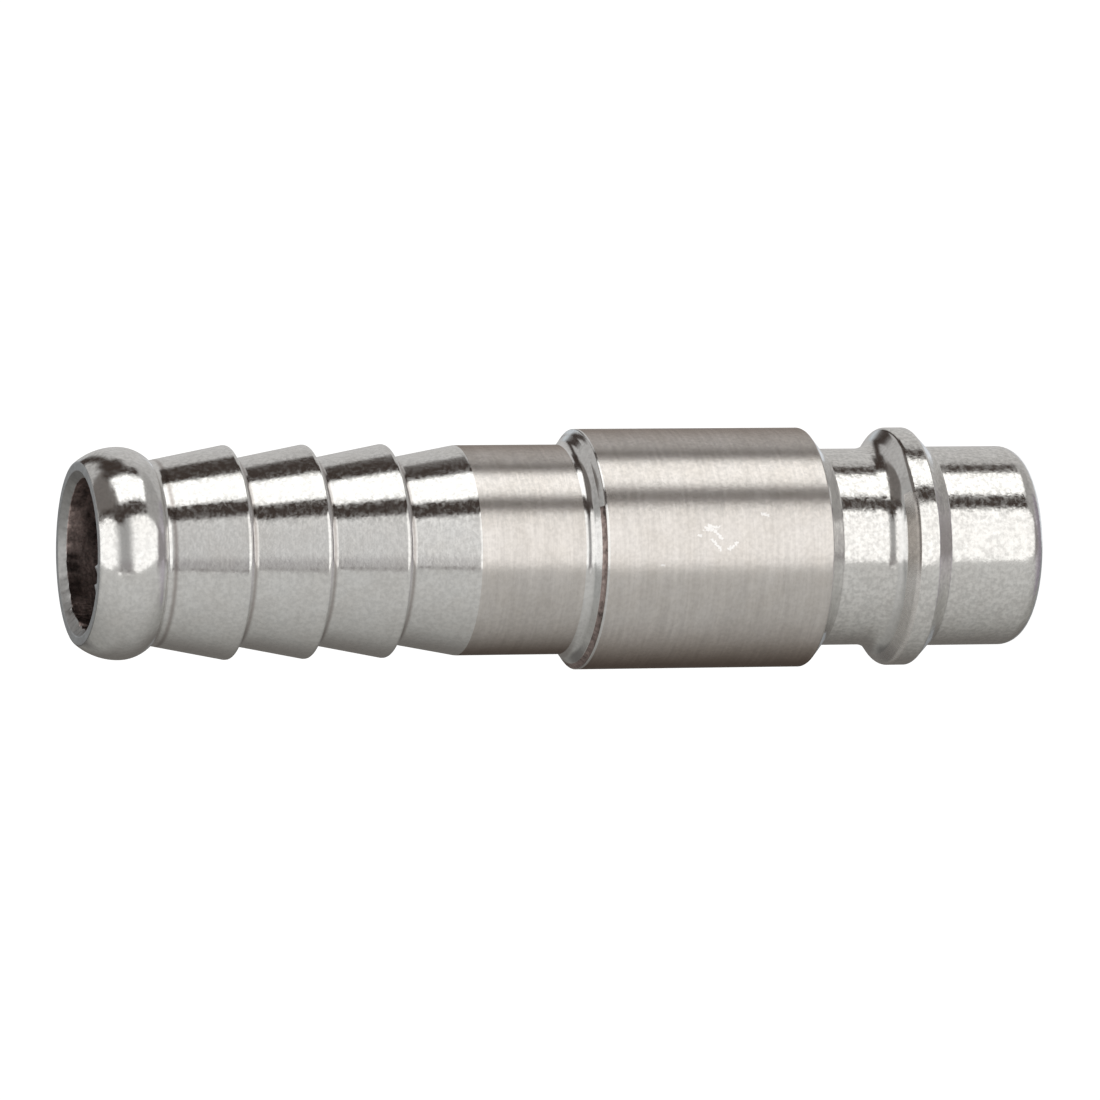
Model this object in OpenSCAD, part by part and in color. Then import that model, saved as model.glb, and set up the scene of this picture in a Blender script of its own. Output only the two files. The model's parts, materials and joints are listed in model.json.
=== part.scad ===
// Hose tail: a plug for a quick-release coupling with a barbed spigot for a hose.
// The whole thing is turned and drilled from one steel bar, so it is one solid.
// It stands on its nose. z = 0 is the nose end face and +Z runs up the axis to the hose end.

/* [Hose end bead] */
// Diameter over the crown of the smooth bead that leads into the hose
bead_d = 10.55; // [10:0.05:11.2]
// Distance from the end face to the crown
bead_front = 2.0; // [1.4:0.1:2.4]
// Profile radius in front of the crown
bead_front_radius = 3.1; // [2.6:0.1:5]
// Profile radius behind the crown
bead_back_radius = 2.0; // [1:0.1:4]

/* [Barbs] */
// Number of saw-tooth barbs before the last cone
barb_count = 3; // [1:1:5]
// Distance from one barb tip to the next
barb_pitch = 4.05; // [3:0.05:6]
// Diameter over the barb tips
barb_tip_d = 10.65; // [10.5:0.05:12]
// Diameter at the root of each barb
barb_root_d = 9.15; // [8.6:0.05:10]

/* [Land] */
// Diameter of the plain land that the hose end slides onto
land_d = 10.5; // [9.6:0.05:10.6]
// Length of the land, from the last cone to the shoulder
land_len = 5.45; // [2:0.05:12]

/* [Shank] */
// Diameter of the shank
shank_d = 12.05; // [11:0.05:14]
// Length of the shank between its two end corners
shank_len = 12.1; // [6:0.1:20]
// Axial length of the steep shoulder between the corners of the land and the shank
shoulder_len = 0.45; // [0.3:0.05:1.5]
// Radius that rounds the shoulder over into the shank
shoulder_round = 0.85; // [0.1:0.05:1]

/* [Plug profile] */
// Diameter at the bottom of the locking groove
neck_d = 9.9; // [9:0.05:10.6]
// Length of the bottom of the locking groove
neck_len = 2.8; // [1.5:0.05:4]
// Axial length of the groove's flank on the collar's side
front_flank_len = 0.8; // [0.6:0.05:1.2]
// Radius of the hollow in which that flank runs out, for the locking balls
front_hollow = 1.2; // [0.5:0.05:1.5]
// Axial length of the groove's flank on the shank's side
back_flank_len = 0.9; // [0.6:0.05:1.4]
// Diameter of the locking collar
collar_d = 12.0; // [11.2:0.05:12.6]
// Length of the straight part of the collar
collar_len = 1.1; // [0.5:0.05:3]
// Diameter of the sealing nose
nose_d = 10.05; // [9.8:0.05:10.8]
// Length of the sealing nose, up to the collar's lower cone
nose_len = 5.1; // [3:0.05:8]
// Axial length of the cone from the nose up to the collar
collar_cone_len = 0.95; // [0.6:0.05:1.4]
// Radius that rounds the end of the nose
nose_round = 1.05; // [0.3:0.05:1.1]

/* [Bore] */
// Diameter of the bore that runs right through
bore_d = 7.5; // [6:0.1:7.6]
// Chamfer at the bore's mouth in the hose end
mouth_chamfer = 0.35; // [0.1:0.05:0.4]
// Chamfer at the bore's mouth in the nose
nose_chamfer = 0.1; // [0.05:0.05:0.15]

/* [Hidden] */
$fn = 128;
STEEL = [0.74, 0.72, 0.70];

// Radii
bead_r = bead_d / 2;
tip_r = barb_tip_d / 2;
root_r = barb_root_d / 2;
land_r = land_d / 2;
shank_r = shank_d / 2;
neck_r = neck_d / 2;
collar_r = collar_d / 2;
nose_r = nose_d / 2;
bore_r = bore_d / 2;

// Heights from the nose end up
collar_low = nose_len + collar_cone_len;
collar_top = collar_low + collar_len;
neck_low = collar_top + front_flank_len;
neck_top = neck_low + neck_len;
shank_low = neck_top + back_flank_len;
shank_top = shank_low + shank_len;
land_low = shank_top + shoulder_len;
land_top = land_low + land_len;

// Every barb is the same cone, and the last cone is cut short where it meets the land.
barb_slope = (tip_r - root_r) / barb_pitch;
last_cone_len = (land_r - root_r) / barb_slope;
barbs_low = land_top + last_cone_len;
barbs_top = barbs_low + barb_count * barb_pitch;

// The bead's back runs down from the crown until it meets the first barb's root.
bead_drop = bead_r - root_r;
bead_back = sqrt(bead_drop * (2 * bead_back_radius - bead_drop));
crown_z = barbs_top + bead_back;
total_len = crown_z + bead_front;

// The corner next to the flat end of the nose keeps a narrow ring to stand on.
ring_min = 0.05;
nose_corner = min(nose_round, nose_r - bore_r - nose_chamfer - ring_min);

// Directions in which the shoulder leaves the shank and the groove's flank leaves the collar
shoulder_angle = atan2(shoulder_len, land_r - shank_r);
flank_angle = atan2(front_flank_len, neck_r - collar_r);
// Direction of the outline where it runs up along the part, and steps in each round
up = 90;
arc_steps = 12;
// How far a cutting tool runs past the face that it starts from
past = 1;

// Points of an arc, without the first one where the run before it already ends there
function arc(centre, radius, from, to, first = 0) = [
    for (i = [first : arc_steps])
        let (angle = from + (to - from) * i / arc_steps)
        centre + radius * [cos(angle), sin(angle)]
];

// Arc that rounds a corner, which the outline reaches at angle_in and leaves at angle_out.
// In a hollow the outline turns the other way, and the radius counts as negative.
function corner_arc(corner, angle_in, angle_out, radius) =
    let (
        turned = sign(angle_out - angle_in) * radius,
        setback = turned * tan((angle_out - angle_in) / 2),
        start = corner - setback * [cos(angle_in), sin(angle_in)],
        centre = start + turned * [-sin(angle_in), cos(angle_in)]
    )
    arc(centre, turned, angle_in - 90, angle_out - 90);

// The outline in the order in which it is turned, as [radius, height], from the nose up
function nose_line() = concat(
    corner_arc([nose_r, 0], 0, up, nose_corner),
    [[nose_r, nose_len]]
);

function collar_line() = [[collar_r, collar_low], [collar_r, collar_top]];

function neck_line() = concat(
    corner_arc([neck_r, neck_low], flank_angle, up, front_hollow),
    [[neck_r, neck_top]]
);

function shank_line() = concat(
    [[shank_r, shank_low]],
    corner_arc([shank_r, shank_top], up, shoulder_angle, shoulder_round)
);

function land_line() = [[land_r, land_low], [land_r, land_top]];

function barb_line() = concat(
    [[root_r, barbs_low]],
    [
        for (i = [0 : barb_count - 1])
            let (low = barbs_low + i * barb_pitch)
            each [[tip_r, low], [root_r, low + barb_pitch]]
    ]
);

function bead_line() = concat(
    arc([bead_r - bead_back_radius, crown_z], bead_back_radius,
        -asin(bead_back / bead_back_radius), 0, first = 1),
    arc([bead_r - bead_front_radius, crown_z], bead_front_radius,
        0, asin(bead_front / bead_front_radius), first = 1)
);

module turned_bar() {
    rotate_extrude()
    polygon(concat(
        [[0, 0]],
        nose_line(),
        collar_line(),
        neck_line(),
        shank_line(),
        land_line(),
        barb_line(),
        bead_line(),
        [[0, total_len]]
    ));
}

// Countersink that is chamfer wide and chamfer deep, opening downwards from z = 0
module countersink(chamfer) {
    translate([0, 0, -past])
    cylinder(h = past + chamfer, r1 = bore_r + chamfer + past, r2 = bore_r);
}

module bore() {
    translate([0, 0, -past]) cylinder(h = total_len + 2 * past, r = bore_r);
    countersink(nose_chamfer);
    translate([0, 0, total_len]) mirror([0, 0, 1]) countersink(mouth_chamfer);
}

module hose_tail() {
    color(STEEL)
    difference() {
        turned_bar();
        bore();
    }
}

hose_tail();
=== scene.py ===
# %% [markdown]
# # A turned steel hose tail
# The real object is one piece of bright turned steel. It is the tail of a quick coupling:
# a hose is pushed over the barbs at one end, and the plain nose at the other end plugs into
# a socket whose balls lock behind the collar.
# This lesson builds it as a lathe does, from one half section that is turned about an axis.
# It stands on its nose at the origin, with the hose end up, and every length is in metres.

# %% Load the fixed frame
import json
import math

import bmesh
import bpy
from mathutils import Matrix, Vector, noise


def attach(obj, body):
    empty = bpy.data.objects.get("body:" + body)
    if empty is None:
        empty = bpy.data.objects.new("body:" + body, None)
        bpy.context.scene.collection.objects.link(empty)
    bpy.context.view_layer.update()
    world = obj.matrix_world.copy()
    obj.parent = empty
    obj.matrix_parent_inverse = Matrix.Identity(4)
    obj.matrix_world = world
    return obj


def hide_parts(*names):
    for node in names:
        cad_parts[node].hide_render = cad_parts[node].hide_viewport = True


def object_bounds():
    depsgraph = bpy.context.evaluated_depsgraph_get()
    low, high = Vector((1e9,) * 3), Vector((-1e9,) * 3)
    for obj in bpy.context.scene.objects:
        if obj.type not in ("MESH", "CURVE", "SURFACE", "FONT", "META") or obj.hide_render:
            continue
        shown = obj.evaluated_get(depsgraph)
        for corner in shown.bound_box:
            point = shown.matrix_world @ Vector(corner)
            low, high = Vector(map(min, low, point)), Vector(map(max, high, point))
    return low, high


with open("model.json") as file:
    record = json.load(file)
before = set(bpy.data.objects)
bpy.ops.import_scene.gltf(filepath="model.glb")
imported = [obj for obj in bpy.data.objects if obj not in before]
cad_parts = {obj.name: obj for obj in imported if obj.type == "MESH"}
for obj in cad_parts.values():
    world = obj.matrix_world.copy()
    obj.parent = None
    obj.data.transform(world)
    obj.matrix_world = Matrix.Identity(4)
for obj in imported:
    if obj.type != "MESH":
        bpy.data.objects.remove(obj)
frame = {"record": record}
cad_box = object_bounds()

MM = 0.001
mounts = {mount["name"]: mount for mount in frame["record"]["mounts"]}
box_mm = [[round(value / MM, 2) for value in corner] for corner in cad_box]
print("the frame's box in mm:", box_mm)
print("mounts:", sorted(mounts))

# %% [markdown]
# ## The camera
# The photograph was taken from far away with a long lens, so the tail hardly gets smaller
# with distance. The camera looks down onto the hose end by a little more than a sixth of a
# right angle, and it lies on its side, so the standing part goes across the picture with
# its hose end left.
# An aim point, a distance and an angle say this more clearly than a matrix of numbers would.

# %% Place the camera
look_down = math.radians(16.54)
camera_roll = math.radians(0.55)
aim_point = Vector((-0.03, 0.0, 24.637)) * MM
camera_distance = 507.0 * MM

view = Vector((0.0, math.cos(look_down), -math.sin(look_down)))
picture_up = Matrix.Rotation(camera_roll, 3, view) @ Vector((1.0, 0.0, 0.0))
picture_right = view.cross(picture_up)

camera_data = bpy.data.cameras.new("studio_camera")
camera_data.sensor_width = 36.0
camera_data.lens = 331.5
camera_data.clip_start = 0.01
camera = bpy.data.objects.new("studio_camera", camera_data)
turn = Matrix((picture_right, picture_up, -view)).transposed().to_4x4()
camera.matrix_world = Matrix.Translation(aim_point - view * camera_distance) @ turn
bpy.context.scene.collection.objects.link(camera)
bpy.context.scene.camera = camera
print("camera at", [round(value, 4) for value in camera.location])

# %% [markdown]
# ## The floor
# A cut-out on white has no visible ground, so the floor is a plain sheet that glows almost
# white by itself, which drowns the shadow. A real floor would also mirror in the steel and
# block the light from below. The steel in the photograph shows light from there, so the
# sheet is seen by the camera alone.

# %% Lay the floor
floor_half = 4.0
floor_mesh = bmesh.new()
bmesh.ops.create_grid(floor_mesh, x_segments=1, y_segments=1, size=floor_half)
floor_data = bpy.data.meshes.new("pale_floor")
floor_mesh.to_mesh(floor_data)
floor_mesh.free()
floor = bpy.data.objects.new("pale_floor", floor_data)
bpy.context.scene.collection.objects.link(floor)

floor_paint = bpy.data.materials.new("pale_floor")
floor_paint.use_nodes = True
floor_shader = floor_paint.node_tree.nodes["Principled BSDF"]
floor_shader.inputs["Base Color"].default_value = (0.30, 0.30, 0.30, 1.0)
floor_shader.inputs["Roughness"].default_value = 1.0
floor_shader.inputs["Specular IOR Level"].default_value = 0.0
floor_shader.inputs["Emission Color"].default_value = (1.0, 1.0, 1.0, 1.0)
floor_shader.inputs["Emission Strength"].default_value = 0.93
floor_data.materials.append(floor_paint)
floor.visible_glossy = False
floor.visible_diffuse = False
floor.visible_shadow = False
print("floor is", 2 * floor_half, "m wide")

# %% [markdown]
# ## The studio
# Bright steel has almost no colour of its own: what we see on it is the room. Lamps could
# light it, but a lamp gives small hot spots, and the photograph shows wide soft shapes
# with dark gaps between them. So the room itself is painted round the object by direction.
# Each wall or softbox is a window in two angles: how far round from the camera it is
# (0 is at the camera, and 90 is on the side that is up in the picture), and how high.

# %% Helpers that every node tree uses
MIX_FIRST, MIX_SECOND, MIX_RESULT = 6, 7, 2


def feed(tree, value, socket):
    """Links another node's output to a socket, or sets the socket to a plain value."""
    if isinstance(value, bpy.types.NodeSocket):
        tree.links.new(value, socket)
    elif isinstance(value, tuple) and socket.type == "RGBA":
        socket.default_value = (*value, 1.0)
    else:
        socket.default_value = value


def calc(tree, kind, *values):
    node = tree.nodes.new("ShaderNodeMath")
    node.operation = kind
    for socket, value in zip(node.inputs, values):
        feed(tree, value, socket)
    return node.outputs["Value"]


def blend(tree, first, second, factor):
    """Mixes two colours: the first where the factor is 0, the second where it is 1."""
    node = tree.nodes.new("ShaderNodeMix")
    node.data_type = "RGBA"
    feed(tree, factor, node.inputs["Factor"])
    feed(tree, first, node.inputs[MIX_FIRST])
    feed(tree, second, node.inputs[MIX_SECOND])
    return node.outputs[MIX_RESULT]


def ramp(tree, value, low, high, kind="SMOOTHSTEP"):
    """Goes from 0 at the low value to 1 at the high one."""
    node = tree.nodes.new("ShaderNodeMapRange")
    node.interpolation_type = kind
    feed(tree, value, node.inputs["Value"])
    feed(tree, low, node.inputs["From Min"])
    feed(tree, high, node.inputs["From Max"])
    return node.outputs["Result"]


# %% [markdown]
# The world gives each node the direction in which a ray leaves the part. Two arc functions
# turn that direction into the two angles, in degrees.

# %% Measure the two angles of every direction
studio = bpy.data.worlds.new("soft_studio")
studio.use_nodes = True
bpy.context.scene.world = studio
room = studio.node_tree
room.nodes.clear()

direction = room.nodes.new("ShaderNodeTexCoord")
parts = room.nodes.new("ShaderNodeSeparateXYZ")
room.links.new(direction.outputs["Generated"], parts.inputs["Vector"])
sideways = parts.outputs["X"]
towards_camera = calc(room, "MULTIPLY", parts.outputs["Y"], -1.0)
around = calc(room, "DEGREES", calc(room, "ARCTAN2", sideways, towards_camera))
height = calc(room, "DEGREES", calc(room, "ARCSINE", parts.outputs["Z"]))
print("room nodes:", len(room.nodes))

# %% [markdown]
# A window rises softly from 0 to 1 at its first angle and falls again at its second.
# Two such windows multiplied make a soft-edged box on the wall, and mixing a colour through
# it hangs that box in the room. The room is painted from the back to the front.

# %% Helpers that paint the walls
def both(first, second):
    return calc(room, "MULTIPLY", first, second)


def outside(mask):
    return calc(room, "SUBTRACT", 1.0, mask)


def past(angle, edge, soft):
    """A mask that is 1 where the angle is past the edge."""
    return ramp(room, angle, edge - soft, edge + soft)


def window(angle, edges, soft):
    return both(past(angle, edges[0], soft), outside(past(angle, edges[1], soft)))


def box(sides, heights, soft, soft_height=None):
    return both(window(around, sides, soft), window(height, heights, soft_height or soft))


def leaning(part):
    """An angle that mixes how far round with a part of how high, for an edge that leans."""
    return calc(room, "SUBTRACT", around, calc(room, "MULTIPLY", height, part))


# %% [markdown]
# The walls are grey. Left of the camera they get darker the further they are, most of all
# low down, and behind the part they are cool on one side and dark on the other. Straight
# above hangs a narrow white panel, which is what whitens the steep shoulder.

# %% Paint the walls and the ceiling
left_far = (0.27, 0.265, 0.25)
left_near = (0.53, 0.525, 0.51)
lower_dark = (0.15, 0.14, 0.13)
right_grey = (0.46, 0.45, 0.44)
right_low = (0.35, 0.34, 0.33)
right_far = (0.54, 0.53, 0.52)
back_cool = (0.56, 0.60, 0.63)
back_dark = (0.12, 0.115, 0.11)
back_sweep = (0.72, 0.75, 0.79)
back_faint = (0.27, 0.28, 0.29)
ceiling = (0.35, 0.35, 0.34)
panel_white = (1.05, 1.04, 1.02)
underside = (0.42, 0.39, 0.42)
under_back = (0.27, 0.245, 0.28)

wall = blend(room, left_far, left_near, past(around, -85.0, 60.0))
far_left = outside(past(around, -125.0, 30.0))
wall = blend(room, wall, lower_dark, both(far_left, window(height, (-40.0, 1.0), 7.0)))
wall = blend(room, wall, right_grey, past(around, 48.0, 6.0))
wall = blend(room, wall, right_low, box((40.0, 112.0), (-80.0, -29.0), 10.0, 4.0))
wall = blend(room, wall, right_far, box((118.0, 168.0), (-32.0, -4.0), 10.0, 6.0))
wall = blend(room, wall, ceiling, past(height, 62.0, 8.0))
wall = blend(room, wall, back_cool, box((160.0, 200.0), (-2.0, 36.0), 4.0))
wall = blend(room, wall, back_dark, box((-200.0, -140.0), (5.0, 40.0), 8.0))
wall = blend(room, wall, back_sweep, box((162.0, 200.0), (-58.0, -24.0), 5.0))
wall = blend(room, wall, back_faint, box((-200.0, -162.0), (-58.0, -24.0), 5.0))
wall = blend(room, wall, underside, outside(past(height, -66.0, 8.0)))
behind = calc(room, "MAXIMUM", past(around, 100.0, 20.0), outside(past(around, -100.0, 20.0)))
wall = blend(room, wall, under_back, both(behind, outside(past(height, -60.0, 4.0))))
panel = both(window(sideways, (-0.16, 0.28), 0.02), past(height, 60.0, 3.0))
print("room nodes with the walls:", len(room.nodes))

# %% [markdown]
# A white light fills the front, from far below the camera to high above it, and it widens
# to the right as it rises. Under its foot the room is dark. The camera with its operator
# and their tripod is the grey patch in its middle, and a thin dark frame stands along its
# left edge.

# %% Paint the front light and what stands in it
front_white = (1.10, 1.085, 1.06)
front_low = (0.27, 0.25, 0.255)
operator = (0.36, 0.355, 0.35)
operator_dark = (0.30, 0.285, 0.285)
frame_edge = (0.24, 0.225, 0.22)

front = both(past(around, -21.5, 1.6), outside(past(leaning(0.75), 20.0, 2.0)))
front = both(front, window(height, (26.0, 66.0), 4.0))
wall = blend(room, wall, front_white, front)
wall = blend(room, wall, front_low, box((-24.0, 52.0), (-96.0, -58.0), 5.0, 5.0))
face_on = both(past(leaning(-0.167), -20.75, 1.8), outside(past(around, 43.0, 1.6)))
wall = blend(room, wall, front_white, both(face_on, window(height, (-60.0, 30.0), 5.0)))
wall = blend(room, wall, operator, box((-21.5, 43.0), (4.8, 31.0), 1.6, 8.0))
wall = blend(room, wall, operator_dark, box((-20.0, -8.0), (5.0, 27.0), 6.0, 4.0))
wall = blend(room, wall, frame_edge, box((-21.8, -18.2), (-2.0, 40.0), 1.2, 6.0))
wall = blend(room, wall, panel_white, panel)
print("room nodes with the front light:", len(room.nodes))

# %% [markdown]
# One softbox makes the long white streak. Black flags stand on both sides of it, and they
# give the polished cones their thin dark lines. The left flag stands upright beside the
# softbox, has a foot that reaches into the front light, and leans over to the right above.

# %% Hang the flags and the softbox
flag_black = (0.046, 0.035, 0.030)
flag_brown = (0.16, 0.145, 0.135)
softbox = (1.30, 1.29, 1.26)

upright = both(past(leaning(-0.181), 40.0, 1.2), outside(past(around, 60.5, 1.2)))
upright = both(upright, window(height, (-31.0, 27.0), 5.0))
foot = box((33.0, 50.0), (17.0, 28.0), 4.0, 3.0)
beam = both(past(leaning(0.75), 16.5, 2.0), outside(past(leaning(0.5), 41.0, 3.0)))
beam = both(beam, window(height, (22.0, 62.0), 3.0))
wall = blend(room, wall, flag_brown, box((52.0, 113.0), (17.0, 57.0), 4.0))
for part in (upright, foot, beam):
    wall = blend(room, wall, flag_black, part)
wall = blend(room, wall, flag_black, box((94.0, 108.0), (-23.0, 22.0), 2.5, 4.0))
wall = blend(room, wall, flag_black, box((100.0, 124.0), (-7.0, 18.0), 3.0, 4.0))
wall = blend(room, wall, flag_black, box((112.0, 160.0), (2.0, 12.0), 4.0, 3.5))
wall = blend(room, wall, flag_black, box((145.0, 157.0), (2.0, 28.0), 3.0, 3.0))
glow = both(past(leaning(-0.124), 59.0, 2.0), outside(past(around, 93.0, 1.2)))
wall = blend(room, wall, softbox, both(glow, window(height, (-29.5, 18.5), 2.0)))

background = room.nodes.new("ShaderNodeBackground")
room.links.new(wall, background.inputs["Color"])
plain_white = room.nodes.new("ShaderNodeBackground")
plain_white.inputs["Color"].default_value = (1.0, 1.0, 1.0, 1.0)
ray = room.nodes.new("ShaderNodeLightPath")
either = room.nodes.new("ShaderNodeMixShader")
room.links.new(ray.outputs["Is Camera Ray"], either.inputs["Fac"])
room.links.new(background.outputs["Background"], either.inputs[1])
room.links.new(plain_white.outputs["Background"], either.inputs[2])
room_output = room.nodes.new("ShaderNodeOutputWorld")
room.links.new(either.outputs["Shader"], room_output.inputs["Surface"])
bpy.context.scene.view_settings.view_transform = "Standard"
print("room nodes:", len(room.nodes))

# %% [markdown]
# ## The half section
# A lathe cuts the part from one profile, so the profile is the whole design. It could be
# a long list of points, but a pen that draws lines and arcs is easier to read and to change.
# The pen moves in the X-Z plane: X is the radius and Z the height above the nose.
# extrude_vert_indiv pulls a line out of the last point, and spin about a centre in the
# same plane pulls out an arc.

# %% A pen that draws with bmesh operators
section = bmesh.new()
corners = {}
arc_steps = 14


def spot(height_mm, radius_mm):
    return Vector((radius_mm, 0.0, height_mm)) * MM


def line_to(pen, height_mm, radius_mm):
    drawn = bmesh.ops.extrude_vert_indiv(section, verts=[pen])
    tip = drawn["verts"][0]
    tip.co = spot(height_mm, radius_mm)
    return tip


def arc_about(pen, height_mm, radius_mm, degrees):
    drawn = bmesh.ops.spin(
        section,
        geom=[pen],
        cent=spot(height_mm, radius_mm),
        axis=(0.0, 1.0, 0.0),
        angle=math.radians(degrees),
        steps=arc_steps,
    )
    return drawn["geom_last"][0]


def mount_radius(name):
    return mounts[name]["dims"]["r_mm"]


bore_radius = mount_radius("through_bore")
print("bore radius", bore_radius, "mm")

# %% [markdown]
# ### The plug end
# The nose slides into the seal of the socket, so it is plain and its rim is well rounded.
# Above it the collar stands out, and then comes the groove in which the locking balls rest.
# The groove's flank next to the collar is steep and runs out in a hollow as round as a ball.

# %% Draw the nose, the collar and the groove
nose_radius = mount_radius("sealing_nose")
collar_radius = mount_radius("locking_collar")
neck_radius = 4.95
hole_chamfer = 0.1
nose_top = 5.1
collar_low = nose_top + 0.95
collar_high = collar_low + 1.1
neck_low = collar_high + 0.8
neck_high = neck_low + 2.8

start = pen = section.verts.new(spot(hole_chamfer, bore_radius))
pen = corners["nose hole"] = line_to(pen, 0.0, bore_radius + hole_chamfer)
pen = corners["nose rim"] = line_to(pen, 0.0, nose_radius)
pen = corners["nose top"] = line_to(pen, nose_top, nose_radius)
pen = corners["collar low"] = line_to(pen, collar_low, collar_radius)
pen = corners["collar high"] = line_to(pen, collar_high, collar_radius)
pen = corners["neck low"] = line_to(pen, neck_low, neck_radius)
pen = corners["neck high"] = line_to(pen, neck_high, neck_radius)
print("plug end drawn to", round(neck_high, 3), "mm")

# %% [markdown]
# ### The shank and the land
# The shank is the thick plain part that takes a hand or a clamp. A steep shoulder, which
# stops the hose, leads from it down to the land, and the land carries the end of the hose.
# Just inside the shoulder's crest the tool left one fine line, and at its foot a hollow.

# %% Draw the shank, the shoulder and the land
shank_radius = mount_radius("shank")
land_radius = mount_radius("hose_land")
shank_low = neck_high + 0.9
shank_top = shank_low + 11.74
shoulder_top = shank_top + 0.60
land_top = shoulder_top + 5.66
line_low, line_high = 0.03, 0.23
line_depth = 0.055
fall = (land_radius - shank_radius) / (shoulder_top - shank_top)
line_middle = (line_low + line_high) / 2
bottom_height = shank_top + line_middle - line_depth
bottom_radius = shank_radius + fall * line_middle - line_depth / 2

pen = corners["shank low"] = line_to(pen, shank_low, shank_radius)
pen = corners["shank top"] = line_to(pen, shank_top, shank_radius)
pen = line_to(pen, shank_top + line_low, shank_radius + fall * line_low)
pen = line_to(pen, bottom_height, bottom_radius)
pen = line_to(pen, shank_top + line_high, shank_radius + fall * line_high)
pen = corners["shoulder top"] = line_to(pen, shoulder_top, land_radius)
pen = corners["land top"] = line_to(pen, land_top, land_radius)
print("land drawn to", round(land_top, 3), "mm")

# %% [markdown]
# ### The barbs
# A barb is a long cone that the hose slides over on its way in, and a sharp step that bites
# when the hose is pulled. Three of them follow one another, one pitch apart, so a loop
# draws them. The last cone has the same slope, but it is cut short by the thicker land.
# Each barb's tip is a very narrow land, which shines as a white line in front.

# %% Draw the barbs
barb_tip = 5.325
barb_root = 4.575
barb_pitch = 4.05
barb_count = 3
tip_land = 0.18
barb_slope = (barb_tip - barb_root) / barb_pitch
first_barb = land_top + (land_radius - barb_root) / barb_slope

pen = corners["root 0"] = line_to(pen, first_barb, barb_root)
for number in range(barb_count):
    step_height = first_barb + number * barb_pitch
    pen = corners[f"tip {number + 1}"] = line_to(pen, step_height, barb_tip)
    pen = line_to(pen, step_height + tip_land, barb_tip)
    pen = corners[f"root {number + 1}"] = line_to(pen, step_height + barb_pitch, barb_root)
bead_foot = first_barb + barb_count * barb_pitch
print("barbs drawn to", round(bead_foot, 3), "mm")

# %% [markdown]
# ### The bead and the mouth
# The hose end closes with a fat round bead, so that the hose can be started by hand. It has
# a short tight arc behind its crown and a longer one in front, and it ends in a flat ring
# round the mouth of the bore. Both arcs have their centre straight below the crown, which
# makes them run into each other without a kink. One more point a little way down the bore
# parts the raw edge of the mouth from the long plain wall.

# %% Draw the bead and close the section
crown_radius = 5.275
bead_back = 2.0
bead_front = 3.1
crown_setback = 2.0
mouth_chamfer = 0.35
raw_depth = 1.4
foot_rise = math.asin((barb_root - crown_radius + bead_back) / bead_back)
crown_height = bead_foot + bead_back * math.cos(foot_rise)
end_height = crown_height + crown_setback
front_turn = math.asin((end_height - crown_height) / bead_front)

pen = arc_about(pen, crown_height, crown_radius - bead_back, math.degrees(foot_rise) - 90.0)
pen = arc_about(pen, crown_height, crown_radius - bead_front, -math.degrees(front_turn))
corners["bead rim"] = pen
pen = corners["mouth rim"] = line_to(pen, end_height, bore_radius + mouth_chamfer)
pen = corners["mouth throat"] = line_to(pen, end_height - mouth_chamfer, bore_radius)
pen = line_to(pen, end_height - raw_depth, bore_radius)
section.edges.new((pen, start))
print("the end face is at", round(end_height, 3), "mm;", len(section.verts), "points")

# %% [markdown]
# ### Rounding the corners
# No turned edge is perfectly sharp: it is broken by the tool or worn by handling, and that
# thin round is what catches the light at each barb. Bevel with affect VERTICES rounds
# a corner of the drawn section. Its offset runs along the lines, so a radius is turned
# into that reach from the angle of the corner.

# %% Round every corner by its own radius
def round_corner(name, radius_mm, steps):
    corner = corners[name]
    sides = [edge.other_vert(corner).co - corner.co for edge in corner.link_edges]
    bend = math.pi - sides[0].angle(sides[1])
    bmesh.ops.bevel(
        section,
        geom=[corner],
        offset=radius_mm * MM * math.tan(bend / 2),
        offset_type="OFFSET",
        affect="VERTICES",
        segments=steps,
        profile=0.5,
        material=-1,
    )


for name, radius_mm, steps in (
    ("nose hole", 0.04, 3),
    ("nose rim", 1.05, 12),
    ("nose top", 0.15, 5),
    ("collar low", 0.15, 5),
    ("collar high", 0.34, 9),
    ("neck low", 1.2, 14),
    ("neck high", 0.10, 4),
    ("shank low", 0.12, 5),
    ("shank top", 0.10, 5),
    ("shoulder top", 0.55, 12),
    ("land top", 1.0, 4),
    ("bead rim", 0.08, 5),
    ("mouth rim", 0.06, 4),
    ("mouth throat", 0.06, 4),
):
    round_corner(name, radius_mm, steps)
for number in range(barb_count):
    round_corner(f"tip {number + 1}", 0.12, 7)
    round_corner(f"root {number}", 0.38, 7)
round_corner(f"root {barb_count}", 0.25, 5)
print("section now has", len(section.verts), "points")

# %% [markdown]
# Smooth shading bends the light over the whole length of a face. Next to a small round that
# would make a long straight cone look hollow, so each long line gets a point close to
# both of its ends. These hold the cones straight and keep the bend inside the rounds.

# %% Hold the long lines straight
hold = 0.04 * MM
long_enough = 8 * hold


def hold_end(edge, end):
    """Adds a point close to one end of a line, and gives back the long rest of it."""
    _, added = bmesh.utils.edge_split(edge, end, hold / edge.calc_length())
    return max(added.link_edges, key=lambda part: part.calc_length())


for edge in section.edges[:]:
    if edge.calc_length() > long_enough:
        near, far = edge.verts
        hold_end(hold_end(edge, near), far)
print("section with holding points:", len(section.verts))

# %% [markdown]
# ### Turning it
# One full spin about the Z axis makes the whole part, bore included, because the section
# is a closed loop. use_merge joins the last copy to the first. Spin may leave the faces
# pointing inwards, so they are recalculated once the shell is closed.

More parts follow.
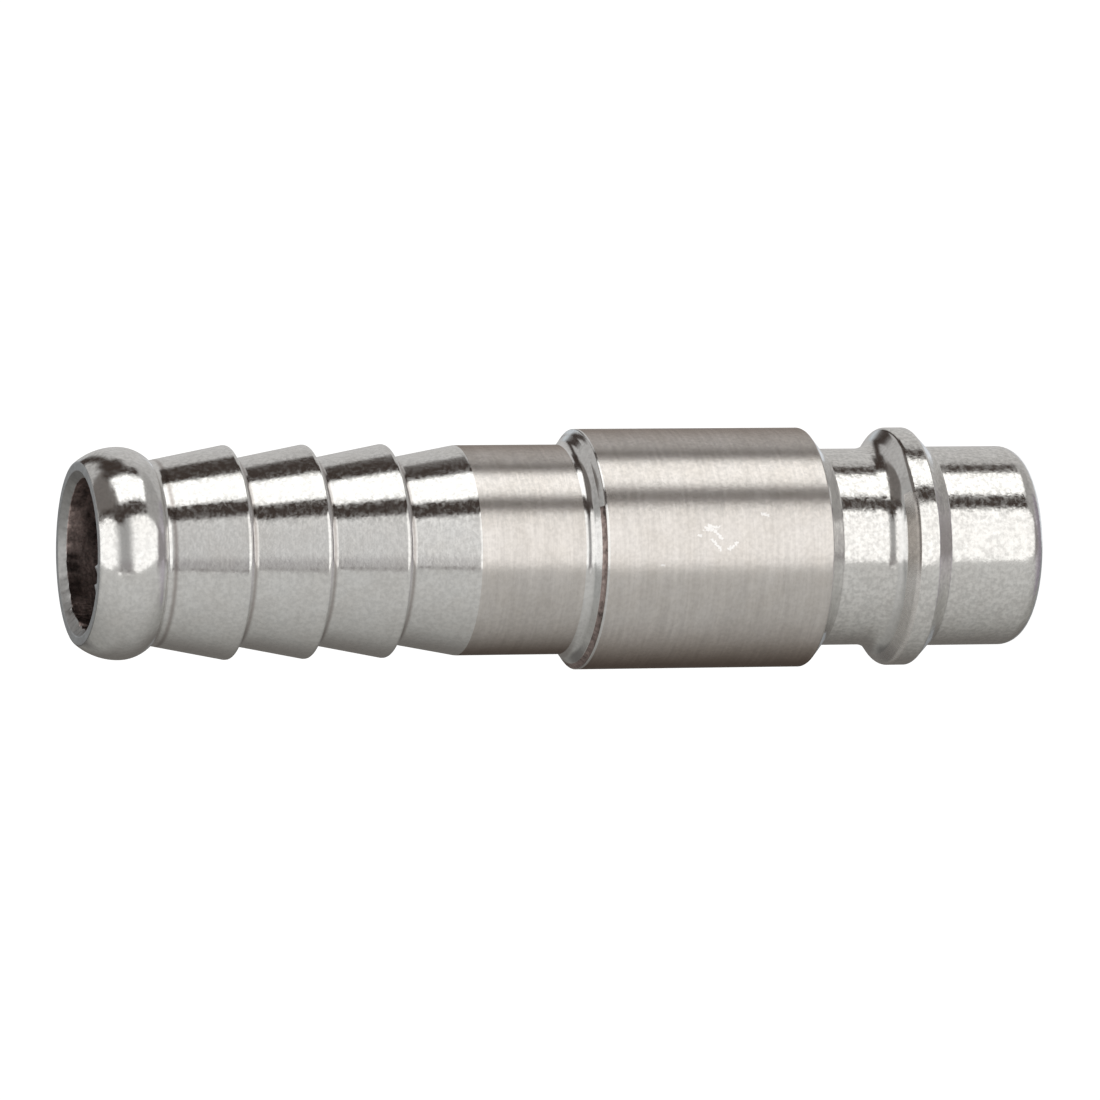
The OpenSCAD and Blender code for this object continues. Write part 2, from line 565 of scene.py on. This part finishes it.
# %% Turn the section about its axis
turn_steps = 320
merge_distance = 0.0005 * MM
bmesh.ops.spin(
    section,
    geom=section.verts[:] + section.edges[:],
    cent=(0.0, 0.0, 0.0),
    axis=(0.0, 0.0, 1.0),
    angle=math.radians(360.0),
    steps=turn_steps,
    use_merge=True,
)
bmesh.ops.remove_doubles(section, verts=section.verts[:], dist=merge_distance)
bmesh.ops.recalc_face_normals(section, faces=section.faces[:])
open_edges = [edge for edge in section.edges if len(edge.link_faces) != 2]
print("turned:", len(section.faces), "faces,", len(open_edges), "open edges")
print("volume in cubic mm:", round(section.calc_volume(signed=True) / MM**3, 1))

# %% [markdown]
# ### The raw edge of the mouth
# The bore was drilled after the end was turned, and nobody cleaned its edge. So the edge
# wanders a little, most at one side, and two small burrs stand into the hole. They are real
# metal and not paint, so the vertices round the throat are pushed inwards one by one.

# %% Roughen the mouth
throat_height = end_height - mouth_chamfer
mouth_reach = bore_radius + mouth_chamfer + 0.02
ragged_side = -125.0
ragged_width = 35.0
ragged_least = 0.06
ragged_more = 0.19
coarse_scale = 2.6
fine_scale = 7.0
fine_share = 0.5
inward_lean = 0.2
burrs = ((-10.5, 0.55), (-24.5, 0.40))
burr_width = 2.0


def bell(distance, width):
    """Is 1 where the distance is 0, and fades out over the width."""
    return math.exp(-((distance / width) ** 2))


def wander(place):
    """Coarse and fine noise together, which lean a little inwards."""
    fine = fine_share * noise.noise(place * fine_scale)
    return noise.noise(place * coarse_scale) + fine + inward_lean


for vert in section.verts:
    place = vert.co / MM
    radius = math.hypot(place.x, place.y)
    depth = throat_height - place.z
    if radius > mouth_reach or depth > mouth_chamfer:
        continue
    angle = math.degrees(math.atan2(place.x, -place.y))
    ragged = ragged_least + ragged_more * bell(angle - ragged_side, ragged_width)
    fade = 1.0 - abs(depth) / mouth_chamfer
    inward = ragged * fade * wander(place)
    inward += sum(size * bell(angle - at, burr_width) for at, size in burrs)
    vert.co.x *= 1.0 - inward / radius
    vert.co.y *= 1.0 - inward / radius
section.normal_update()
print("the mouth is roughened")

# %% [markdown]
# ### Seven finishes on one piece
# The part is one solid, but it was not finished evenly. The bead and the barbs were
# polished, the sloped flanks come bright from the tool, the land and the shank show fine
# turning marks, the plug end is slightly grainy, the collar's crest is worn dull and carries
# painted shade, the end ring is matt, and nobody finished the bore. The fine line on the
# shoulder takes the dark bore finish as painted shade, except on the side that is up in the
# picture. Each face gets the number of its finish from its place, so that the finishes meet
# exactly at the edges.

# %% Number the finishes
finish_count = 7
POLISHED, BRIGHT, SATIN, GRAINED, WORN_SHADED, MATT, BORE = range(finish_count)
tolerance = 0.03
bright_low = shank_top - 0.09
bright_high = shoulder_top + 0.3
line_shade_side = 2.1
worn_low, worn_high = -0.13, 0.40
worn_side = 2.7


def finish_of(face):
    middle = face.calc_center_median() / MM
    radius = math.hypot(middle.x, middle.y)
    if middle.z > end_height - tolerance:
        return MATT
    angle = math.degrees(math.atan2(middle.x, -middle.y))
    on_burr = any(abs(angle - at) < burr_width for at, size in burrs)
    if on_burr and radius < bore_radius and middle.z > throat_height - mouth_chamfer:
        return BRIGHT
    if middle.z > throat_height and radius < bore_radius + mouth_chamfer:
        return MATT
    if radius < bore_radius + tolerance and middle.z > hole_chamfer:
        return BORE
    if middle.z > land_top:
        return POLISHED
    # Painted shade: the shoulder's fine line takes the dark bore finish, except on the side up in
    # the picture.
    if line_low < middle.z - shank_top < line_high and middle.x < line_shade_side:
        return BORE
    if bright_low < middle.z < bright_high or neck_high < middle.z < shank_low:
        return BRIGHT
    # The worn crest's finish also carries painted shade.
    if worn_low < middle.z - collar_high < worn_high and middle.x < worn_side:
        return WORN_SHADED
    if collar_high < middle.z < neck_low:
        return BRIGHT
    return SATIN if middle.z > shank_low else GRAINED


for face in section.faces:
    face.smooth = True
    face.material_index = finish_of(face)
numbers = [face.material_index for face in section.faces]
print("faces of each finish:", [numbers.count(index) for index in range(finish_count)])

# %% [markdown]
# The finished shell becomes the mesh of one object, which stands in for the CAD part of
# the same name.

# %% Make the object
tail_data = bpy.data.meshes.new("turned_hose_tail")
section.to_mesh(tail_data)
section.free()
tail = bpy.data.objects.new("turned_hose_tail", tail_data)
bpy.context.scene.collection.objects.link(tail)
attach(tail, "root")
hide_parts("hose_tail")
print("triangles:", sum(len(polygon.vertices) - 2 for polygon in tail_data.polygons))

# %% [markdown]
# ## Effects that the finishes share
# What varies over this steel is kept in node groups with their own inputs, so that every
# finish can use each effect at its own scale: fine rings left by the tool, grain like that
# of fine sand, patches where the metal is a little warmer, dark specks, and scratches.

# %% Helpers for node groups
FLOAT, VECTOR, COLOUR = "NodeSocketFloat", "NodeSocketVector", "NodeSocketColor"


def new_group(name, inputs, outputs):
    group = bpy.data.node_groups.new(name, "ShaderNodeTree")
    for label, kind, value in inputs:
        socket = group.interface.new_socket(name=label, in_out="INPUT", socket_type=kind)
        socket.default_value = value
    for label, kind in outputs:
        group.interface.new_socket(name=label, in_out="OUTPUT", socket_type=kind)
    given = group.nodes.new("NodeGroupInput").outputs
    made = group.nodes.new("NodeGroupOutput").inputs
    return group, given, made


def object_place(tree):
    return tree.nodes.new("ShaderNodeTexCoord").outputs["Object"]


def vector(tree, kind, first, second=None, scale=None):
    node = tree.nodes.new("ShaderNodeVectorMath")
    node.operation = kind
    feed(tree, first, node.inputs[0])
    if second is not None:
        feed(tree, second, node.inputs[1])
    if scale is not None:
        feed(tree, scale, node.inputs["Scale"])
    return node.outputs["Value" if kind in ("DOT_PRODUCT", "LENGTH") else "Vector"]


def cloud(tree, place, scale, detail):
    """Soft noise between 0 and 1."""
    node = tree.nodes.new("ShaderNodeTexNoise")
    feed(tree, place, node.inputs["Vector"])
    feed(tree, scale, node.inputs["Scale"])
    node.inputs["Detail"].default_value = detail
    node.inputs["Roughness"].default_value = 0.6
    return node.outputs["Fac"]


# %% [markdown]
# A tool mark runs round the part, so its pattern is long round the axis and short along
# it. Object coordinates are scaled by a small number across and a large one along the
# axis before they reach a noise, which draws it out into rings without a seam.

# %% The turning rings
rings, given, made = new_group(
    "turning_rings",
    [("Across", FLOAT, 150.0), ("Along", FLOAT, 9000.0)],
    [("Height", FLOAT), ("Streaks", FLOAT)],
)
stretch = rings.nodes.new("ShaderNodeCombineXYZ")
for axis, label in (("X", "Across"), ("Y", "Across"), ("Z", "Along")):
    feed(rings, given[label], stretch.inputs[axis])
drawn_out = vector(rings, "MULTIPLY", object_place(rings), stretch.outputs["Vector"])
ring_noise = cloud(rings, drawn_out, 1.0, 3.0)
feed(rings, ring_noise, made["Height"])
feed(rings, ramp(rings, ring_noise, 0.35, 0.65, "LINEAR"), made["Streaks"])
print("rings:", len(rings.nodes), "nodes")

# %% [markdown]
# Grain looks the same in every direction. Its height bends the reflections a little, and
# its dips hold some dirt, so it also gives a mask for the dark specks.

# %% The grain
grain, given, made = new_group(
    "fine_grain",
    [("Size", FLOAT, 4500.0)],
    [("Height", FLOAT), ("Specks", FLOAT)],
)
grain_noise = cloud(grain, object_place(grain), given["Size"], 1.5)
feed(grain, grain_noise, made["Height"])
feed(grain, ramp(grain, grain_noise, 0.36, 0.64, "LINEAR"), made["Specks"])
print("grain:", len(grain.nodes), "nodes")

# %% [markdown]
# Bare steel is not one even colour either. A soft noise picks patches of about a
# millimetre and blends a clean tint there with a slightly warmer one.

# %% The patches of tint
patches, given, made = new_group(
    "patchy_tint",
    [
        ("Size", FLOAT, 700.0),
        ("Clean", COLOUR, (0.9, 0.9, 0.9, 1.0)),
        ("Tinted", COLOUR, (0.8, 0.75, 0.7, 1.0)),
    ],
    [("Colour", COLOUR)],
)
patch_noise = cloud(patches, object_place(patches), given["Size"], 4.0)
patch_mask = ramp(patches, patch_noise, 0.35, 0.70, "LINEAR")
feed(patches, blend(patches, given["Clean"], given["Tinted"], patch_mask), made["Colour"])
print("patches:", len(patches.nodes), "nodes")

# %% [markdown]
# Dirt only takes light away. So one group lowers a colour by two masks, each with its own
# depth: the specks of the grain and the streaks of the rings.

# %% The dirt
dirt, given, made = new_group(
    "dirt",
    [
        ("Colour", COLOUR, (0.9, 0.9, 0.9, 1.0)),
        ("Specks", FLOAT, 0.0),
        ("Speck Depth", FLOAT, 0.1),
        ("Streaks", FLOAT, 0.0),
        ("Streak Depth", FLOAT, 0.05),
    ],
    [("Colour", COLOUR)],
)
black = (0.0, 0.0, 0.0)
speck_loss = calc(dirt, "MULTIPLY", given["Specks"], given["Speck Depth"])
streak_loss = calc(dirt, "MULTIPLY", given["Streaks"], given["Streak Depth"])
all_loss = calc(dirt, "ADD", speck_loss, streak_loss)
feed(dirt, blend(dirt, given["Colour"], black, all_loss), made["Colour"])
print("dirt:", len(dirt.nodes), "nodes")

# %% [markdown]
# A scratch is a short line with round ends. The mask measures how far each place is from
# the line between two points, as a ruler would, and a little noise makes its edge ragged.

# %% The scratches
scratch, given, made = new_group(
    "scratch",
    [
        ("Start", VECTOR, (0.0, 0.0, 0.0)),
        ("End", VECTOR, (0.0, 0.0, 1.0)),
        ("Width", FLOAT, 0.0001),
    ],
    [("Mark", FLOAT)],
)
ragged_scale = 9000.0
ragged_part = 3.0
here = object_place(scratch)
run = vector(scratch, "SUBTRACT", given["End"], given["Start"])
offset = vector(scratch, "SUBTRACT", here, given["Start"])
along = vector(scratch, "DOT_PRODUCT", offset, run)
share = calc(scratch, "DIVIDE", along, vector(scratch, "DOT_PRODUCT", run, run))
share = calc(scratch, "MINIMUM", calc(scratch, "MAXIMUM", share, 0.0), 1.0)
away = vector(scratch, "SUBTRACT", offset, vector(scratch, "SCALE", run, scale=share))
swing = calc(scratch, "SUBTRACT", cloud(scratch, here, ragged_scale, 1.0), 0.5)
swing = calc(scratch, "MULTIPLY", swing, calc(scratch, "MULTIPLY", given["Width"], ragged_part))
ragged_distance = calc(scratch, "ADD", vector(scratch, "LENGTH", away), swing)
inner = calc(scratch, "MULTIPLY", given["Width"], 0.5)
mark = calc(scratch, "SUBTRACT", 1.0, ramp(scratch, ragged_distance, inner, given["Width"]))
feed(scratch, mark, made["Mark"])
print("scratch:", len(scratch.nodes), "nodes")

# %% [markdown]
# At the narrow foot of every cone, in the hollow under the step of the barb before it, a
# thin brown line is painted as shade. The height above the first barb is wrapped at the
# pitch, so one band repeats at every foot.

# %% The painted shade at the foot of the barbs
foot_shade, given, made = new_group(
    "foot_shade",
    [
        ("First", FLOAT, first_barb * MM),
        ("Pitch", FLOAT, barb_pitch * MM),
        ("Below", FLOAT, 0.32 * MM),
        ("Width", FLOAT, 0.19 * MM),
    ],
    [("Mark", FLOAT)],
)
level = foot_shade.nodes.new("ShaderNodeSeparateXYZ")
feed(foot_shade, object_place(foot_shade), level.inputs["Vector"])
above_first = calc(foot_shade, "SUBTRACT", level.outputs["Z"], given["First"])
wrapped = calc(foot_shade, "FLOORED_MODULO", above_first, given["Pitch"])
below_step = calc(foot_shade, "SUBTRACT", given["Pitch"], wrapped)
off_line = calc(foot_shade, "ABSOLUTE", calc(foot_shade, "SUBTRACT", below_step, given["Below"]))
foot_shade_mark = calc(foot_shade, "SUBTRACT", 1.0, ramp(foot_shade, off_line, 0.0, given["Width"]))
feed(foot_shade, foot_shade_mark, made["Mark"])
print("foot line:", len(foot_shade.nodes), "nodes")

# %% [markdown]
# ## The finishes
# All seven are the same steel, so all seven are one recipe with other values: a base colour
# from the patches, lowered by dirt, a roughness, and a bump from rings and grain. The bump
# is only thousandths of a millimetre high, but on a surface that mirrors the room even
# that breaks the edges of the reflections as it does on the real part. Two more helpers
# paint shade onto a finish on one side only.

# %% One recipe for bare steel
fine_rings = (150.0, 7000.0)


def use_group(tree, group, values):
    node = tree.nodes.new("ShaderNodeGroup")
    node.node_tree = group
    for label, value in values.items():
        feed(tree, value, node.inputs[label])
    return node.outputs


def bump(tree, relief, depth_mm, normal=None):
    node = tree.nodes.new("ShaderNodeBump")
    node.inputs["Distance"].default_value = depth_mm * MM
    feed(tree, relief, node.inputs["Height"])
    if normal is not None:
        feed(tree, normal, node.inputs["Normal"])
    return node.outputs["Normal"]


def steel_finish(name, colours, roughness, spread, specks, grain_mm, streaks, ring_mm, ring_scale):
    """Makes one finish and adds it to the part.

    The grain adds the spread to the roughness and takes the specks off the colour, and the
    rings take the streaks off it. The two heights are those of the bump, and the ring scale
    is the fineness of the rings across and along the axis.
    """
    material = bpy.data.materials.new(name)
    material.use_nodes = True
    tree = material.node_tree
    shader = tree.nodes["Principled BSDF"]
    shader.inputs["Metallic"].default_value = 1.0
    sand = use_group(tree, grain, {})
    grainy = calc(tree, "MULTIPLY_ADD", sand["Specks"], spread, roughness)
    feed(tree, grainy, shader.inputs["Roughness"])
    turned = use_group(tree, rings, {"Across": ring_scale[0], "Along": ring_scale[1]})
    steel = use_group(tree, patches, {"Clean": colours[0], "Tinted": colours[1]})
    worn = {
        "Colour": steel["Colour"],
        "Specks": sand["Specks"],
        "Speck Depth": specks,
        "Streaks": turned["Streaks"],
        "Streak Depth": streaks,
    }
    feed(tree, use_group(tree, dirt, worn)["Colour"], shader.inputs["Base Color"])
    normal = bump(tree, turned["Height"], ring_mm)
    feed(tree, bump(tree, sand["Height"], grain_mm, normal), shader.inputs["Normal"])
    tail_data.materials.append(material)
    return tree, shader


def paint_shade(tree, shader, loss, tint):
    """Paints shade: multiplies the base colour of a finish by a shade tint, as far as the loss
    says.
    """
    colour = shader.inputs["Base Color"].links[0].from_socket
    node = tree.nodes.new("ShaderNodeMix")
    node.data_type = "RGBA"
    node.blend_type = "MULTIPLY"
    feed(tree, loss, node.inputs["Factor"])
    feed(tree, colour, node.inputs[MIX_FIRST])
    feed(tree, tint, node.inputs[MIX_SECOND])
    feed(tree, node.outputs[MIX_RESULT], shader.inputs["Base Color"])


def side_place(tree):
    """How far a place lies towards X, the side that is up in the picture."""
    split = tree.nodes.new("ShaderNodeSeparateXYZ")
    feed(tree, object_place(tree), split.inputs["Vector"])
    return split.outputs["X"]


# %% [markdown]
# The barbs and the bead mirror the room most clearly. The thin brown line of painted shade
# at each foot is laid over their colour last.

# %% The polished bead and barbs, and the bright flanks
polished, polished_shader = steel_finish(
    "polished_steel",
    ((0.95, 0.95, 0.94), (0.90, 0.89, 0.87)),
    roughness=0.08,
    spread=0.12,
    specks=0.13,
    grain_mm=0.0028,
    streaks=0.03,
    ring_mm=0.0006,
    ring_scale=fine_rings,
)
# Painted shade: a thin brown line darkens the hollow at the foot of each cone.
foot_shade_brown = (0.30, 0.25, 0.23)
foot_shade_strength = 0.60
foot_shading = calc(polished, "MULTIPLY", use_group(polished, foot_shade, {})["Mark"], foot_shade_strength)
clean_colour = polished_shader.inputs["Base Color"].links[0].from_socket
foot_shaded_colour = blend(polished, clean_colour, foot_shade_brown, foot_shading)
feed(polished, foot_shaded_colour, polished_shader.inputs["Base Color"])

steel_finish(
    "bright_flanks",
    ((0.93, 0.93, 0.92), (0.88, 0.87, 0.86)),
    roughness=0.12,
    spread=0.04,
    specks=0.10,
    grain_mm=0.002,
    streaks=0.06,
    ring_mm=0.002,
    ring_scale=fine_rings,
)
print("finishes so far:", [material.name for material in tail_data.materials])

# %% [markdown]
# The land and the shank were left as the fine tool left them. Their rings throw the light
# up and down but not sideways, so the streaks stay narrow round the part. Seen at a flat
# angle this steel is darker than a clean mirror, which the specular tint takes care of.
# The side that lies low in the picture is painted a little darker, as painted shade. The few
# bright nicks come last: real marks, whose white is a painted highlight where the dents
# catch the light. Each is given by the places of its two ends, across and up, and by its
# width, all in millimetres.

# %% The satin land and shank
satin, satin_shader = steel_finish(
    "satin_steel",
    ((0.83, 0.795, 0.765), (0.77, 0.73, 0.69)),
    roughness=0.24,
    spread=0.03,
    specks=0.08,
    grain_mm=0.003,
    streaks=0.10,
    ring_mm=0.0035,
    ring_scale=(300.0, 4500.0),
)
satin_shader.inputs["Specular Tint"].default_value = (0.50, 0.45, 0.42, 1.0)
# Painted shade: the side that lies low in the picture is darkened.
low_side_shade = (0.70, 0.64, 0.61)
low_shade_starts, low_shade_full = -3.4 * MM, -6.0 * MM
paint_shade(satin, satin_shader, ramp(satin, side_place(satin), low_shade_starts, low_shade_full), low_side_shade)
# Painted highlight: the nicks are real marks, and their white stands in for the light their dents
# catch.
nick_glint_white = (1.0, 1.0, 1.0)
nick_strength = 0.7
nicks = (
    (1.08, 18.12, 1.02, 17.66, 0.10),
    (0.95, 18.34, 0.92, 17.95, 0.12),
    (0.82, 17.84, 0.45, 17.48, 0.09),
    (0.42, 18.02, -0.08, 17.56, 0.09),
    (-0.05, 17.12, 0.23, 16.70, 0.09),
    (1.70, 15.32, 1.53, 14.96, 0.09),
    (0.64, 18.68, 0.60, 18.55, 0.07),
    (-0.82, 20.60, -0.84, 20.52, 0.07),
)


def on_shank(side_mm, level_mm):
    """A point of the shank's camera side, from its place across and its height."""
    return Vector((side_mm, -math.sqrt(shank_radius**2 - side_mm**2), level_mm)) * MM


nick_mask = 0.0
for side_a, level_a, side_b, level_b, width in nicks:
    nick = {
        "Start": on_shank(side_a, level_a),
        "End": on_shank(side_b, level_b),
        "Width": width * MM,
    }
    nick_mask = calc(satin, "MAXIMUM", nick_mask, use_group(satin, scratch, nick)["Mark"])
nick_mask = calc(satin, "MULTIPLY", nick_mask, nick_strength)
satin_colour = satin_shader.inputs["Base Color"].links[0].from_socket
nick_glint_colour = blend(satin, satin_colour, nick_glint_white, nick_mask)
feed(satin, nick_glint_colour, satin_shader.inputs["Base Color"])
print("nicks:", len(nicks))

# %% [markdown]
# The plug end mirrors sharply between its grains. The collar's crest has rubbed against a
# socket and is duller, and painted shade darkens it where it is turned to the camera or away
# from it. The matt end ring and the raw bore are the coarsest. The bore's streaks are rings
# too, but wide and dark, because there the drill left them.

# %% The grained plug end, the worn and shaded crest, the matt ring and the raw bore
steel_finish(
    "grained_steel",
    ((1.0, 0.995, 0.975), (0.94, 0.925, 0.90)),
    roughness=0.09,
    spread=0.13,
    specks=0.20,
    grain_mm=0.006,
    streaks=0.05,
    ring_mm=0.001,
    ring_scale=fine_rings,
)
crest, crest_shader = steel_finish(
    "worn_shaded_crest",
    ((0.95, 0.92, 0.90), (0.87, 0.84, 0.81)),
    roughness=0.25,
    spread=0.05,
    specks=0.12,
    grain_mm=0.003,
    streaks=0.05,
    ring_mm=0.001,
    ring_scale=fine_rings,
)
# Painted shade: the crest's colour is darkened where it faces the camera or away from it.
crest_shade_tint = (0.45, 0.43, 0.41)
crest_side = side_place(crest)
crest_shade_starts = ramp(crest, crest_side, -2.0 * MM, -0.4 * MM)
crest_shade_ends = ramp(crest, crest_side, 2.6 * MM, 1.4 * MM)
paint_shade(crest, crest_shader, calc(crest, "MULTIPLY", crest_shade_starts, crest_shade_ends), crest_shade_tint)
steel_finish(
    "matt_ring",
    ((0.56, 0.56, 0.555), (0.49, 0.485, 0.48)),
    roughness=0.40,
    spread=0.05,
    specks=0.12,
    grain_mm=0.010,
    streaks=0.05,
    ring_mm=0.001,
    ring_scale=fine_rings,
)
steel_finish(
    "raw_bore",
    ((0.86, 0.70, 0.66), (0.60, 0.48, 0.45)),
    roughness=0.42,
    spread=0.05,
    specks=0.30,
    grain_mm=0.02,
    streaks=0.65,
    ring_mm=0.01,
    ring_scale=(260.0, 1100.0),
)
print("finishes:", [material.name for material in tail_data.materials])
